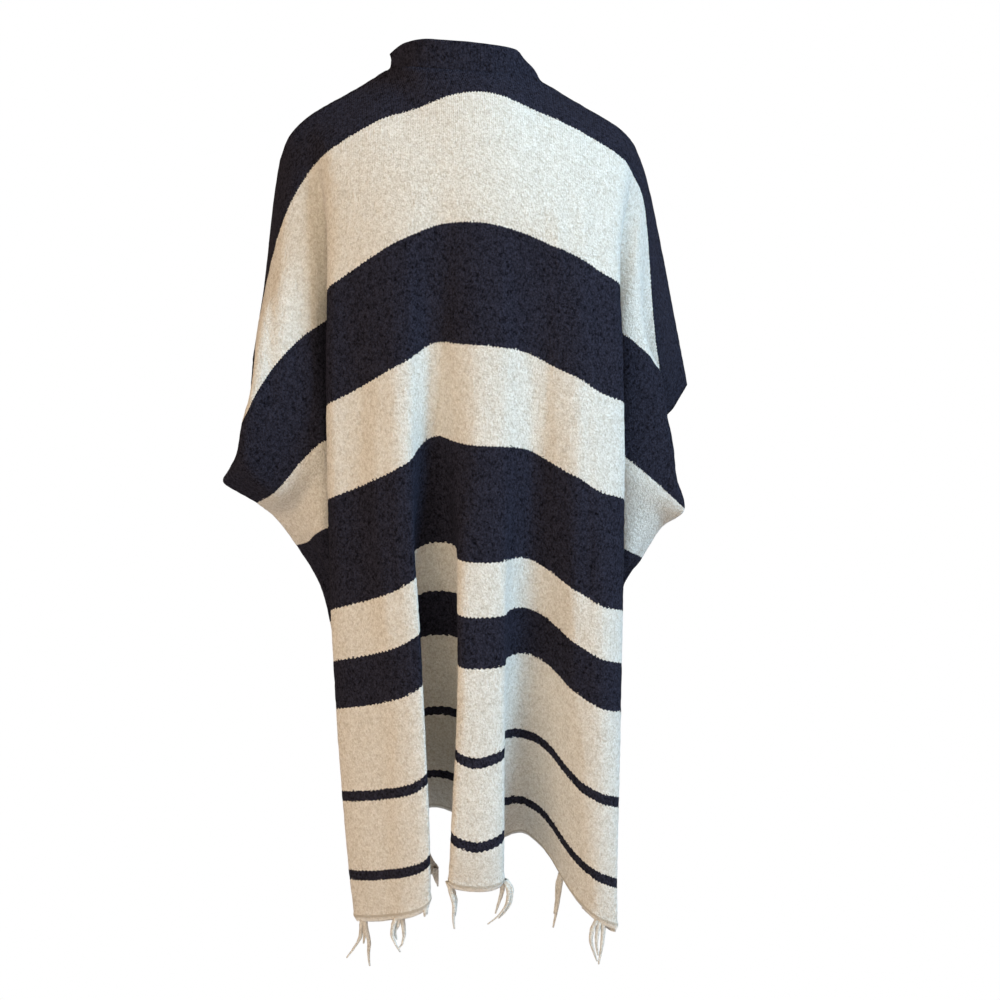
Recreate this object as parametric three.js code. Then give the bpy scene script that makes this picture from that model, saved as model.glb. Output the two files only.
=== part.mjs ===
// Open-fronted knit shrug with wide stripes and a low stand-up collar, hollow and filled out as if worn.
// Millimetres, +Z up. The wearer's front faces -Y and the wearer's left is +X. The origin is at the foot
// of the neck, between the two places where the garment rests on the shoulders.
//
// Every panel is a flat rectangle of cloth, laid into the air by fold lines. A place on a panel has
//   across - mm from the garment's middle line, + to the wearer's left, and
//   down   - mm from the shoulder seam, measured along the cloth.
// A fold line keeps its "across" and runs down the whole panel, along a ridge or a trough of the drape.
import * as THREE from "three";

const CLOTH = 3;
const SEAM_GAP = 0.3;
const BACK_LENGTH = 1000;
const FRONT_LENGTH = 1090;
const PANEL_EDGE = 500;
const FRONT_EDGE = 50;
const ARMHOLE = { back: 410, front: 500 };
const NECK = { middle: 2, halfWidth: 83, back: 68, front: 80, cutBack: 48, cutFront: 70, level: -3, tilt: 5 };
const NECK_DIP = { back: 5, front: 45 };
const SEAM_EASE = 150;
const HANG = { from: 230, giveOver: 600, steps: 400, steepest: 0.2 };
const NAVY = 0x1d1e2c;
const CREAM = 0xd9d5c6;
const ROUGHNESS = 0.95;

// Where the columns of the two tables of hanging folds are, mm down the cloth.
const BACK_DOWN = { blade: 70, chest: 230, waist: 472, thigh: 723, knee: 931, hem: BACK_LENGTH };
const FRONT_DOWN = { breast: 100, chest: 230, waist: 472, thigh: 723, knee: 1055, hem: FRONT_LENGTH };

// Folds of the back, from the wearer's right to left. Columns: name, across, give (mm that the knit has
// dropped by its own weight), shoulder, blade and chest as [x, y, z], then waist, thigh, knee and hem as
// [x, y]: from the chest down, the height follows from the length of the cloth. A fold that starts at
// the neck has no shoulder point.
const BACK_FOLDS = [
  ["right fold", -167, 4, [-176, 0, -68], [-178, 58, -101], [-177, 95, -240],
    [-182, 108], [-181, 122], [-179, 132], [-181, 130]],
  ["right panel outer", -140, 8, [-148, 0, -50], [-147, 65, -82], [-150, 112, -224],
    [-152, 138], [-156, 148], [-158, 140], [-159, 134]],
  ["right panel middle", -114, 12, [-122, 0, -37], [-122, 70, -68], [-124, 122, -204],
    [-128, 145], [-128, 137], [-131, 122], [-132, 110]],
  ["right panel inner", -89, -2, [-93, 0, -20], [-94, 74, -55], [-99, 128, -195],
    [-100, 134], [-103, 114], [-106, 86], [-107, 66]],
  ["right neck corner", -83, -4, [-81, 0, -8], [-88, 75, -52], [-93, 129, -191],
    [-93, 128], [-97, 109], [-100, 77], [-101, 55]],
  ["right hollow", -68, -3, null, [-72, 79, -44], [-78, 131, -183],
    [-78, 125], [-81, 103], [-83, 60], [-84, 34]],
  ["right hollow foot", -46, 1, null, [-50, 84, -37], [-56, 135, -176],
    [-62, 134], [-62, 106], [-58, 55], [-59, 23]],
  ["pleat, right tuck", -38, 1, null, [-42, 85, -34],
    [-48, 137, -173], [-54, 140], [-44, 132], [-26, 92], [-24, 70]],
  ["pleat, right edge", -30, 2, null, [-36, 85, -30],
    [-40, 139, -171], [-44, 148], [-46, 158], [-46, 156], [-46, 148]],
  ["pleat, crest", -8, 10, null, [-16, 86, -29],
    [-18, 139, -167], [-20, 151], [-13, 172], [-15, 178], [-15, 166]],
  ["pleat, left edge", 18, 5, null, [9, 85, -31],
    [8, 134, -167], [8, 136], [8, 164], [18, 171], [22, 160]],
  ["pleat, left tuck", 26, 2, null, [16, 85, -33],
    [15, 131, -168], [18, 123], [-6, 112], [-12, 70], [-10, 45]],
  ["valley, right side", 34, -9, null, [23, 84, -36],
    [22, 129, -169], [26, 112], [14, 80], [22, 18], [24, -10]],
  ["valley, left side", 50, -9, null, [37, 82, -43],
    [36, 128, -172], [42, 110], [54, 78], [60, 14], [62, -14]],
  ["left panel tuck", 62, -3, null, [48, 79, -46], [48, 130, -178],
    [53, 124], [78, 110], [90, 80], [92, 60]],
  ["left panel ridge", 74, 15, null, [60, 76, -49], [62, 131, -184],
    [61, 145], [47, 162], [41, 160], [41, 150]],
  ["left neck corner", 83, 22, [85, 0, 2], [71, 74, -51], [72, 129, -187],
    [71, 147], [56, 163], [48, 160], [48, 151]],
  ["left panel inner", 98, 20, [98, 0, -9], [88, 72, -56], [88, 123, -198],
    [87, 140], [72, 158], [66, 154], [66, 147]],
  ["left panel middle", 125, 13, [122, 0, -23], [116, 67, -71], [118, 109, -218],
    [118, 119], [104, 138], [98, 136], [96, 130]],
  ["left fold", 167, -2, [160, 0, -43], [154, 59, -95], [157, 84, -250],
    [160, 88], [154, 98], [143, 97], [137, 95]],
];

// Folds of the fronts, from the front edge outwards. Columns: name, across, give, shoulder, breast and
// chest as [x, y, z], then waist, thigh, knee and hem as [x, y].
const LEFT_FRONT_FOLDS = [
  ["edge", 50, 4, null, [51, -88, -65], [46, -130, -188], [46, -142], [52, -141], [57, -134], [42, -124]],
  ["edge roll", 62, 34, null, [62, -84, -62], [56, -133, -182],
    [56, -151], [62, -152], [67, -145], [53, -136]],
  ["neck corner", 83, 40, [85, 0, 2], [80, -74, -58], [76, -134, -173],
    [72, -144], [76, -142], [80, -134], [70, -126]],
  ["ridge", 112, 26, [112, 0, -17], [106, -74, -77], [102, -136, -188],
    [92, -154], [92, -164], [96, -160], [92, -156]],
  ["trough", 140, 16, [136, 0, -30], [132, -70, -93], [128, -124, -205],
    [114, -122], [112, -116], [112, -110], [110, -108]],
  ["outer fold", 167, 0, [160, 0, -43], [157, -68, -112], [156, -122, -228],
    [142, -138], [136, -146], [130, -146], [128, -142]],
];
const RIGHT_FRONT_FOLDS = [
  ["edge", -50, 0, null, [-47, -88, -71], [-50, -130, -190],
    [-66, -140], [-86, -142], [-118, -134], [-126, -130]],
  ["edge roll", -62, 0, null, [-58, -84, -68], [-60, -133, -184],
    [-78, -150], [-96, -152], [-127, -145], [-134, -142]],
  ["neck corner", -83, 0, [-81, 0, -8], [-77, -74, -68], [-80, -134, -180],
    [-96, -142], [-112, -138], [-138, -126], [-142, -122]],
  ["ridge", -112, 0, [-120, 0, -36], [-110, -73, -93], [-108, -136, -200],
    [-118, -154], [-132, -162], [-152, -158], [-154, -156]],
  ["trough", -140, 0, [-148, 0, -50], [-142, -68, -111], [-138, -124, -225],
    [-140, -120], [-146, -114], [-154, -108], [-158, -106]],
  ["outer fold", -167, -25, [-176, 0, -68], [-174, -66, -138], [-170, -120, -252],
    [-168, -138], [-168, -144], [-170, -142], [-172, -138]],
];

// Sections of the sleeves and sides, a row each. Columns: down, then the [x, y, z] of four lines: the
// bottom of the pleat beside the body, the sleeve's inner swell, its outer swell, and the panel's edge.
const SIDE_ACROSS = { pleat: 225, inner: 290, outer: 400, edge: PANEL_EDGE };
const LEFT_BACK_SIDE = [
  [0, [184, -2, -57], [209, -6, -84], [250, -82, -262], [270, -105, -350]],
  [70, [172, 40, -110], [203, 40, -160], [241, 12, -281], [264, -44, -387]],
  [150, [156, 42, -181], [187, 62, -218], [241, 74, -326], [237, 12, -428]],
  [230, [136, 28, -266], [181, 76, -295], [244, 93, -374], [268, 34, -458]],
  [310, [128, 16, -345], [173, 80, -365], [242, 88, -430], [288, 40, -476]],
  [362, [124, 10, -400], [169, 74, -424], [223, 64, -482], [253, 16, -507]],
  [410, [122, 4, -455], [167, 58, -470], [208, 18, -520], [234, -8, -532]],
  [472, [120, 0, -520], [168, 50, -531], [194, 8, -558], [211, -20, -569]],
  [560, [116, 10, -608], [148, 28, -610], [168, -14, -626], [181, -35, -636]],
  [723, [110, 38, -760], [126, 10, -768], [146, -22, -782], [158, -42, -795]],
  [1000, [98, 42, -1035], [110, 12, -1045], [130, -22, -1060], [142, -42, -1070]],
];
const RIGHT_BACK_SIDE = [
  [0, [-190, -3, -80], [-205, -8, -108], [-248, -68, -270], [-275, -100, -382]],
  [70, [-190, 46, -120], [-203, 34, -146], [-223, 2, -306], [-248, -78, -416]],
  [150, [-176, 56, -195], [-198, 52, -216], [-208, 0, -338], [-205, -40, -432]],
  [230, [-150, 30, -272], [-187, 60, -301], [-229, 30, -356], [-222, 0, -448]],
  [310, [-144, 18, -350], [-187, 61, -380], [-237, 38, -420], [-250, 18, -480]],
  [362, [-143, 14, -412], [-187, 60, -443], [-238, 36, -490], [-262, 20, -514]],
  [410, [-142, 6, -465], [-189, 48, -495], [-226, 24, -522], [-237, 0, -541]],
  [472, [-140, 0, -535], [-191, 32, -561], [-208, 8, -575], [-214, -8, -582]],
  [560, [-138, 8, -618], [-166, 20, -618], [-182, -12, -626], [-190, -24, -630]],
  [723, [-134, 35, -765], [-149, 10, -770], [-168, -22, -785], [-178, -42, -795]],
  [1000, [-150, 42, -1030], [-160, 12, -1042], [-170, -22, -1058], [-178, -42, -1070]],
];
// On a front the edge column ends at the armhole, and below it the edge is the back's.
const LEFT_FRONT_SIDE = [
  [0, [184, -2, -57], [209, -6, -84], [250, -82, -262], [270, -105, -350]],
  [70, [182, -44, -106], [202, -52, -118], [245, -108, -272], [264, -136, -358]],
  [150, [176, -80, -172], [196, -92, -178], [240, -134, -300], [250, -154, -378]],
  [230, [160, -88, -248], [184, -118, -250], [230, -146, -340], [238, -160, -410]],
  [320, [148, -84, -335], [176, -130, -336], [220, -150, -398], [228, -154, -452]],
  [410, [140, -76, -424], [170, -130, -426], [212, -138, -462], [226, -122, -496]],
  [500, [136, -70, -514], [164, -124, -512], [204, -108, -530], [234, -8, -532]],
  [562, [132, -66, -575], [156, -116, -572], [192, -90, -580]],
  [650, [124, -64, -660], [144, -108, -652], [168, -78, -652]],
  [813, [114, -66, -812], [126, -112, -808], [148, -64, -800]],
  [1090, [106, -70, -1084], [116, -112, -1078], [134, -64, -1070]],
];
const RIGHT_FRONT_SIDE = [
  [0, [-190, -3, -80], [-205, -8, -108], [-248, -68, -270], [-275, -100, -382]],
  [70, [-196, -40, -128], [-210, -48, -138], [-252, -98, -284], [-270, -130, -392]],
  [150, [-194, -76, -192], [-204, -88, -200], [-246, -126, -316], [-258, -150, -410]],
  [230, [-180, -86, -268], [-196, -114, -270], [-238, -138, -358], [-248, -156, -440]],
  [320, [-170, -84, -352], [-192, -126, -356], [-230, -142, -416], [-240, -148, -480]],
  [410, [-164, -76, -440], [-186, -128, -444], [-222, -130, -480], [-236, -116, -520]],
  [500, [-160, -70, -528], [-180, -120, -530], [-212, -102, -550], [-237, 0, -541]],
  [562, [-156, -66, -590], [-174, -112, -588], [-202, -84, -596]],
  [650, [-150, -64, -674], [-166, -104, -668], [-184, -74, -664]],
  [813, [-144, -64, -826], [-156, -108, -822], [-170, -64, -808]],
  [1090, [-152, -72, -1076], [-160, -108, -1078], [-174, -64, -1072]],
];

// The collar's height above the neck edge, and how far its top leans in over the neck. Turn is in degrees
// about the neck, 0 at the wearer's left and 90 at the back.
const COLLAR_RISE = [
  { turn: -53, rise: 8, lean: 1 },
  { turn: 0, rise: 14, lean: 0 },
  { turn: 15, rise: 22, lean: 0 },
  { turn: 30, rise: 28, lean: 0 },
  { turn: 60, rise: 34, lean: 1 },
  { turn: 90, rise: 34, lean: 2 },
  { turn: 120, rise: 32, lean: 3 },
  { turn: 148, rise: 29, lean: 5 },
  { turn: 158, rise: 27, lean: 8 },
  { turn: 168, rise: 22, lean: 11 },
  { turn: 180, rise: 14, lean: 10 },
  { turn: 205, rise: 9, lean: 5 },
  { turn: 233, rise: 8, lean: 2 },
];
const COLLAR_ROWS = 2;

// The fringe: where each tassel hangs, as "across", and how long it is. The right front mirrors the left.
const BACK_TASSELS = [
  { across: -142, length: 60 },
  { across: -98, length: 74 },
  { across: -41, length: 40 },
  { across: -29, length: 58 },
  { across: 16, length: 62 },
  { across: 83, length: 14 },
  { across: 112, length: 51 },
  { across: 152, length: 68 },
];
const FRONT_TASSELS = [
  { across: 56, length: 30 },
  { across: 128, length: 45 },
  { across: 167, length: 45 },
];
// A tassel's outline, from its foot at height 0 to its top at height 1. Columns: radius in mm, height.
const TASSEL_PROFILE = [[0, 0], [3.5, 0.15], [4.5, 0.5], [1.6, 0.86], [0, 1]];
const TASSEL_SIDES = 6;
const TASSEL_GAP = 0.6;

// Mesh steps: the widest cell across, rows above and below the armhole's lower end, and a front's columns
// from its edge to the neck's corner.
const STEPS = { across: 36, armhole: 11, side: 14 };
const NECK_COLUMNS = [FRONT_EDGE, 62, 73];

// At a seam: the most that a wall's half thickness grows at a bend, the least by which two ways of
// easing back are taken to differ, and the parts of a millimetre that tell two places apart.
const MITRE_LIMIT = 2;
const LEAST_SPREAD = 0.5;
const PLACES_PER_MM = 50;

// A smooth curve through vectors at rising knots. It overshoots none of them.
function smoothCurve(knots, values) {
  const last = knots.length - 1;
  const width = knots.slice(1).map((k, i) => k - knots[i]);
  const rate = width.map((w, i) => values[i].map((v, c) => (values[i + 1][c] - v) / w));
  const slopes = values.map((value, i) => {
    if (i === 0) return rate[0];
    if (i === last) return rate[last - 1];
    const before = 2 * width[i] + width[i - 1];
    const after = width[i] + 2 * width[i - 1];
    return value.map((_, c) => {
      const [a, b] = [rate[i - 1][c], rate[i][c]];
      return a * b > 0 ? (before + after) / (before / a + after / b) : 0;
    });
  });
  return (at) => {
    let i = 0;
    while (i < last - 1 && at > knots[i + 1]) i++;
    const t = (at - knots[i]) / width[i];
    const [p, q] = [(1 + 2 * t) * (1 - t) ** 2, t * t * (3 - 2 * t)];
    const [m, n] = [width[i] * t * (1 - t) ** 2, width[i] * t * t * (t - 1)];
    return values[i].map((v, c) => v * p + slopes[i][c] * m + values[i + 1][c] * q + slopes[i + 1][c] * n);
  };
}

// The neck edge: half an ellipse cut from the back, and a deeper one from the fronts.
function neckDepth(across) {
  return Math.sqrt(Math.max(0, 1 - (across / NECK.halfWidth) ** 2));
}

function neckPoint(across, facing) {
  const depth = neckDepth(across);
  const level = NECK.level + (across / NECK.halfWidth) * NECK.tilt;
  if (facing > 0) return [NECK.middle + across, NECK.back * depth, level - NECK_DIP.back * depth];
  return [NECK.middle + across, -NECK.front * depth, level - NECK_DIP.front * depth ** 2];
}

// A fold line of the body: up to the chest it passes its points, and from there it hangs free, each
// length of cloth falling by what its path across the plan leaves of it.
function hangingLine(across, give, shoulder, upper, chest, lowerDown, lower, facing) {
  const start = shoulder ? 0 : (facing > 0 ? NECK.cutBack : NECK.cutFront) * neckDepth(across);
  const top = shoulder ?? neckPoint(across, facing);
  const end = lowerDown.at(-1);
  const knots = [start, upper.down, HANG.from];
  const path = [top, upper.point, chest, ...lower];
  const plan = smoothCurve([...knots, ...lowerDown], path.map((point) => point.slice(0, 2)));
  const height = smoothCurve(knots, [[top[2]], [upper.point[2]], [chest[2]]]);
  const step = (end - HANG.from) / HANG.steps;
  const drop = [0];
  for (let i = 1; i <= HANG.steps; i++) {
    const [a, b] = [plan(HANG.from + (i - 1) * step), plan(HANG.from + i * step)];
    const fall = step ** 2 - (b[0] - a[0]) ** 2 - (b[1] - a[1]) ** 2;
    drop.push(drop[i - 1] + Math.sqrt(Math.max(fall, (HANG.steepest * step) ** 2)));
  }
  const place = (down) => {
    if (down <= HANG.from) return [...plan(down), ...height(down)];
    const i = Math.min(Math.floor((down - HANG.from) / step), HANG.steps - 1);
    const part = (down - HANG.from) / step - i;
    const slack = give * Math.min((down - HANG.from) / HANG.giveOver, 1);
    return [...plan(down), chest[2] - drop[i] - part * (drop[i + 1] - drop[i]) - slack];
  };
  return { across, start, place };
}

function backLine([, across, give, shoulder, blade, chest, ...lower]) {
  const { waist, thigh, knee, hem } = BACK_DOWN;
  const upper = { down: BACK_DOWN.blade, point: blade };
  return hangingLine(across, give, shoulder, upper, chest, [waist, thigh, knee, hem], lower, 1);
}

function frontLine([, across, give, shoulder, breast, chest, ...lower]) {
  const { waist, thigh, knee, hem } = FRONT_DOWN;
  const upper = { down: FRONT_DOWN.breast, point: breast };
  return hangingLine(across, give, shoulder, upper, chest, [waist, thigh, knee, hem], lower, -1);
}

// The four lines of a sleeve and side, from its table.
function sideLines(sections, sign) {
  return Object.entries(SIDE_ACROSS).map(([name, across], column) => {
    const rows = sections.filter((row) => row[column + 1]);
    const place = smoothCurve(rows.map((row) => row[0]), rows.map((row) => row[column + 1]));
    return { name, across: sign * across, start: 0, place };
  });
}

const byAcross = (a, b) => a.across - b.across;
const leftSide = sideLines(LEFT_BACK_SIDE, 1);
const rightSide = sideLines(RIGHT_BACK_SIDE, -1);
const backLines = [...rightSide, ...BACK_FOLDS.map(backLine), ...leftSide].sort(byAcross);

// A front's side lines. Below the armhole its edge is sewn to the back's edge.
function frontLines(folds, sections, sign, backEdge) {
  const side = sideLines(sections, sign);
  const edge = side.find((line) => line.name === "edge");
  const open = edge.place;
  const longer = ARMHOLE.front - ARMHOLE.back;
  edge.place = (down) => (down < ARMHOLE.front ? open(down) : backEdge.place(down - longer));
  return [...folds.map(frontLine), ...side].sort(byAcross);
}

const edgeOf = (side) => side.find((line) => line.name === "edge");
const leftFrontLines = frontLines(LEFT_FRONT_FOLDS, LEFT_FRONT_SIDE, 1, edgeOf(leftSide));
const rightFrontLines = frontLines(RIGHT_FRONT_FOLDS, RIGHT_FRONT_SIDE, -1, edgeOf(rightSide));

// A panel's mid-surface as rows of points: the lines are read at each row, then joined across.
function drape(lines, length, columns, rows) {
  const starts = smoothCurve(lines.map((l) => l.across), lines.map((l) => [l.start]));
  return rows.map((row) => {
    const part = row / length;
    const points = lines.map((line) => line.place(line.start + (length - line.start) * part));
    const joined = smoothCurve(lines.map((l) => l.across), points);
    return columns.map((across) => {
      const point = new THREE.Vector3(...joined(across));
      point.down = starts(across)[0] * (1 - part) + row;
      return point;
    });
  });
}

// Even steps between the given values, none wider than the step.
function divide(values, step) {
  return values.flatMap((value, i) => {
    if (i === 0) return [value];
    const from = values[i - 1];
    const count = Math.ceil((value - from) / step);
    return Array.from({ length: count }, (_, k) => from + ((value - from) * (k + 1)) / count);
  });
}

function rowsTo(armhole, length) {
  const rows = divide([0, armhole], armhole / STEPS.armhole);
  return rows.concat(divide([armhole, length], (length - armhole) / STEPS.side).slice(1));
}

const backColumns = divide(backLines.map((line) => line.across), STEPS.across);
const outerColumns = backColumns.filter((across) => across >= NECK.halfWidth);
const outerColumnsRight = backColumns.filter((across) => across <= -NECK.halfWidth);
const back = drape(backLines, BACK_LENGTH, backColumns, rowsTo(ARMHOLE.back, BACK_LENGTH));

// A front's rows, eased near the shoulder so that its seam is the back's.
function drapeFront(lines, columns) {
  const grid = drape(lines, FRONT_LENGTH, columns, rowsTo(ARMHOLE.front, FRONT_LENGTH));
  columns.forEach((across, j) => {
    if (Math.abs(across) < NECK.halfWidth) return;
    const seam = back[0][backColumns.indexOf(across)].clone();
    const slip = seam.sub(grid[0][j]);
    grid.forEach((row) => row[j].addScaledVector(slip, Math.max(0, 1 - row[j].down / SEAM_EASE) ** 2));
  });
  return grid;
}

const leftColumns = [...NECK_COLUMNS, ...outerColumns];
const rightColumns = [...outerColumnsRight, ...NECK_COLUMNS.map((across) => -across).reverse()];
const frontLeft = drapeFront(leftFrontLines, leftColumns);
const frontRight = drapeFront(rightFrontLines, rightColumns);

// The collar stands on the neck edge of the three panels, from one front edge round the back to the other.
function raiseCollar() {
  const leftNeck = frontLeft[0].filter((_, j) => leftColumns[j] < NECK.halfWidth);
  const rightNeck = frontRight[0].filter((_, j) => rightColumns[j] > -NECK.halfWidth);
  const backNeck = back[0].filter((_, j) => Math.abs(backColumns[j]) <= NECK.halfWidth);
  const foot = [...leftNeck, ...backNeck.reverse(), ...rightNeck];
  const standing = smoothCurve(COLLAR_RISE.map((r) => r.turn), COLLAR_RISE.map((r) => [r.rise, r.lean]));
  return Array.from({ length: COLLAR_ROWS + 1 }, (_, i) =>
    foot.map((point) => {
      const turn = THREE.MathUtils.radToDeg(Math.atan2(point.y, point.x - NECK.middle));
      const [rise, lean] = standing(turn < -90 ? turn + 360 : turn);
      const part = i / COLLAR_ROWS;
      const inward = new THREE.Vector3(NECK.middle - point.x, -point.y, 0).setLength(lean * part ** 2);
      return point.clone().add(inward).add(new THREE.Vector3(0, 0, rise * part));
    }),
  );
}

const panels = [
  { name: "back_panel", grid: back, facing: 1, colour: CREAM },
  { name: "front_left", grid: frontLeft, facing: -1, colour: CREAM },
  { name: "front_right", grid: frontRight, facing: -1, colour: CREAM },
  { name: "collar", grid: raiseCollar(), facing: 1, colour: NAVY },
];

const direction = (from, to) => to.clone().sub(from).normalize();

// The middle direction of the edges before and after place k on a row or column of points.
function along(points, k) {
  const sum = new THREE.Vector3();
  if (k > 0) sum.add(direction(points[k - 1], points[k]));
  if (k < points.length - 1) sum.add(direction(points[k], points[k + 1]));
  return sum.normalize();
}

function normalsOf({ grid, facing }) {
  return grid.map((row, i) =>
    row.map((_, j) => {
      const column = grid.map((r) => r[j]);
      return along(row, j).cross(along(column, i)).normalize().multiplyScalar(facing);
    }),
  );
}

// Panels that share a place on a seam share their normal there, so that their end faces are parallel.
const placeKey = (point) => point.toArray().map((v) => Math.round(v * PLACES_PER_MM)).join();
const seams = new Map();
panels.forEach((panel) => {
  panel.normals = normalsOf(panel);
  panel.grid.forEach((row, i) =>
    row.forEach((point, j) => {
      const key = placeKey(point);
      seams.set(key, [...(seams.get(key) ?? []), { panel, i, j }]);
    }),
  );
});
panels.forEach((panel) => {
  panel.half = panel.grid.map((row) => row.map(() => CLOTH / 2));
  panel.sewn = panel.grid.map((row) => row.map(() => false));
});
seams.forEach((members) => {
  if (members.length < 2) return;
  const normal = new THREE.Vector3();
  members.forEach(({ panel, i, j }) => normal.add(panel.normals[i][j]));
  normal.normalize();
  const turn = Math.min(...members.map(({ panel, i, j }) => panel.normals[i][j].dot(normal)));
  members.forEach(({ panel, i, j }) => {
    panel.half[i][j] = (CLOTH / 2) * Math.min(MITRE_LIMIT, 1 / Math.max(turn, 1 / MITRE_LIMIT));
    panel.sewn[i][j] = true;
  });
  members.forEach(({ panel, i, j }) => panel.normals[i][j].copy(normal));
});

// At a seam a panel stops half the gap short of its neighbour.
function easedBack({ grid, normals, sewn }, i, j) {
  const point = grid[i][j];
  const shift = new THREE.Vector3();
  if (!sewn[i][j]) return shift;
  const border = [
    [i === 0 || i === grid.length - 1, [i, j - 1], [i, j + 1], i === 0 ? grid[1][j] : grid[i - 1][j]],
    [j === 0 || j === grid[0].length - 1, [i - 1, j], [i + 1, j], j === 0 ? grid[i][1] : grid[i][j - 1]],
  ];
  const ways = [];
  border.forEach(([onBorder, before, after, inside]) => {
    if (!onBorder) return;
    [before, after].forEach(([a, b]) => {
      if (!sewn[a]?.[b]) return;
      const tangent = direction(point, grid[a][b]);
      const way = inside.clone().sub(point);
      way.addScaledVector(normals[i][j], -way.dot(normals[i][j]));
      way.addScaledVector(tangent, -way.dot(tangent));
      ways.push(way.normalize());
    });
  });
  if (!ways.length) return shift;
  ways.forEach((way) => shift.add(way));
  const spread = ways.length === 2 ? 1 + ways[0].dot(ways[1]) : ways.length;
  return shift.multiplyScalar(SEAM_GAP / 2 / Math.max(spread, LEAST_SPREAD));
}

// The wall on a panel's mid-surface: an outer and an inner skin, joined round the border.
function wall(panel) {
  const { grid, normals, half, facing } = panel;
  const [rows, columns] = [grid.length, grid[0].length];
  const position = [];
  [1, -1].forEach((side) =>
    grid.forEach((row, i) =>
      row.forEach((point, j) => {
        const placed = point.clone().add(easedBack(panel, i, j));
        placed.addScaledVector(normals[i][j], side * half[i][j]);
        position.push(...placed.toArray());
      }),
    ),
  );
  const outer = (i, j) => i * columns + j;
  const inner = (i, j) => rows * columns + i * columns + j;
  const index = [];
  const quad = (a, b, c, d) => index.push(...(facing > 0 ? [a, c, b, a, d, c] : [a, b, c, a, c, d]));
  for (let i = 0; i < rows - 1; i++) {
    for (let j = 0; j < columns - 1; j++) {
      quad(outer(i, j), outer(i + 1, j), outer(i + 1, j + 1), outer(i, j + 1));
      quad(inner(i, j), inner(i, j + 1), inner(i + 1, j + 1), inner(i + 1, j));
    }
  }
  // An end face is split from the outer skin's rightmost corner, so that two sewn ends match.
  const end = ([i, j], [k, l]) =>
    grid[i][j].x > grid[k][l].x
      ? quad(outer(i, j), inner(i, j), inner(k, l), outer(k, l))
      : quad(inner(i, j), inner(k, l), outer(k, l), outer(i, j));
  for (let j = 0; j < columns - 1; j++) {
    end([0, j + 1], [0, j]);
    end([rows - 1, j], [rows - 1, j + 1]);
  }
  for (let i = 0; i < rows - 1; i++) {
    end([i, 0], [i + 1, 0]);
    end([i + 1, columns - 1], [i, columns - 1]);
  }
  const geometry = new THREE.BufferGeometry();
  geometry.setAttribute("position", new THREE.Float32BufferAttribute(position, 3));
  geometry.setIndex(index);
  return geometry;
}

// Yarn tassels hang from the hems, each a plain solid of the space that its strands reach.
function tasselAt(grid, columns, across, length) {
  const hem = grid.at(-1);
  const j = columns.findIndex((column) => column >= across);
  const part = (across - columns[j - 1]) / (columns[j] - columns[j - 1]);
  const point = hem[j - 1].clone().lerp(hem[j], part);
  const profile = TASSEL_PROFILE.map(([radius, up]) => new THREE.Vector2(radius, (up - 1) * length));
  const geometry = new THREE.LatheGeometry(profile, TASSEL_SIDES).rotateX(Math.PI / 2);
  return geometry.translate(point.x, point.y, point.z - TASSEL_GAP);
}

const shrug = new THREE.Group();
function addMesh(name, geometry, colour) {
  const material = new THREE.MeshStandardMaterial({ color: colour, roughness: ROUGHNESS, metalness: 0 });
  const mesh = new THREE.Mesh(geometry, material);
  mesh.name = name;
  shrug.add(mesh);
}

panels.forEach((panel) => addMesh(panel.name, wall(panel), panel.colour));
BACK_TASSELS.forEach(({ across, length }, i) => {
  addMesh(`tassel_back_${i + 1}`, tasselAt(back, backColumns, across, length), CREAM);
});
FRONT_TASSELS.forEach(({ across, length }, i) => {
  addMesh(`tassel_left_${i + 1}`, tasselAt(frontLeft, leftColumns, across, length), CREAM);
  addMesh(`tassel_right_${i + 1}`, tasselAt(frontRight, rightColumns, -across, length), CREAM);
});

export default shrug;
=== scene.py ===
# %% [markdown]
# # A striped knit shrug
# The garment is a wide, open-fronted shrug in thick boucle yarn, navy and cream, held out as if someone
# wore it and seen from behind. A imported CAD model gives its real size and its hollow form. This script
# gives it its looks: soft cloth in place of the faceted walls, yarn, stripes, tassels and light.

import math

import bmesh
import bpy
import numpy as np
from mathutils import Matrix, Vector, noise


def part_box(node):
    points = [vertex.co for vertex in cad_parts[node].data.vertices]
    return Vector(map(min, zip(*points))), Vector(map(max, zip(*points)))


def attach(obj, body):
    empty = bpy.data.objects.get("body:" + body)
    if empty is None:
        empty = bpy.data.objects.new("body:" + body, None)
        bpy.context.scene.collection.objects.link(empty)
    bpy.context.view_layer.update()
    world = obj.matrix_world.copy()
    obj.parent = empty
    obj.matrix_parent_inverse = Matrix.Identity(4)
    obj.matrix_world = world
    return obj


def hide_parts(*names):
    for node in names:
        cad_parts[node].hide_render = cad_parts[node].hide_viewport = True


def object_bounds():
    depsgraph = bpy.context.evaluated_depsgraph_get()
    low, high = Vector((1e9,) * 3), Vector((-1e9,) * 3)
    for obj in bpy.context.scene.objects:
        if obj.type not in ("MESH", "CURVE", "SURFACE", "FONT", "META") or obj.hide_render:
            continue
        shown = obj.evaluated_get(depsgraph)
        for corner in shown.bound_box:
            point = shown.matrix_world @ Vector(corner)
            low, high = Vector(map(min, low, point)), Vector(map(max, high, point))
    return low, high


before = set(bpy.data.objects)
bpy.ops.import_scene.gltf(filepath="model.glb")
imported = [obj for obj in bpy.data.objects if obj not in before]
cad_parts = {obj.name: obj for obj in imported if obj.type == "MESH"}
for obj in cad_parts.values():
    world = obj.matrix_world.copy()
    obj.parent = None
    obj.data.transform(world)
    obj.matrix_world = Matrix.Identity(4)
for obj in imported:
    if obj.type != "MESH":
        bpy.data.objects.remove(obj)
cad_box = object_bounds()
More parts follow.
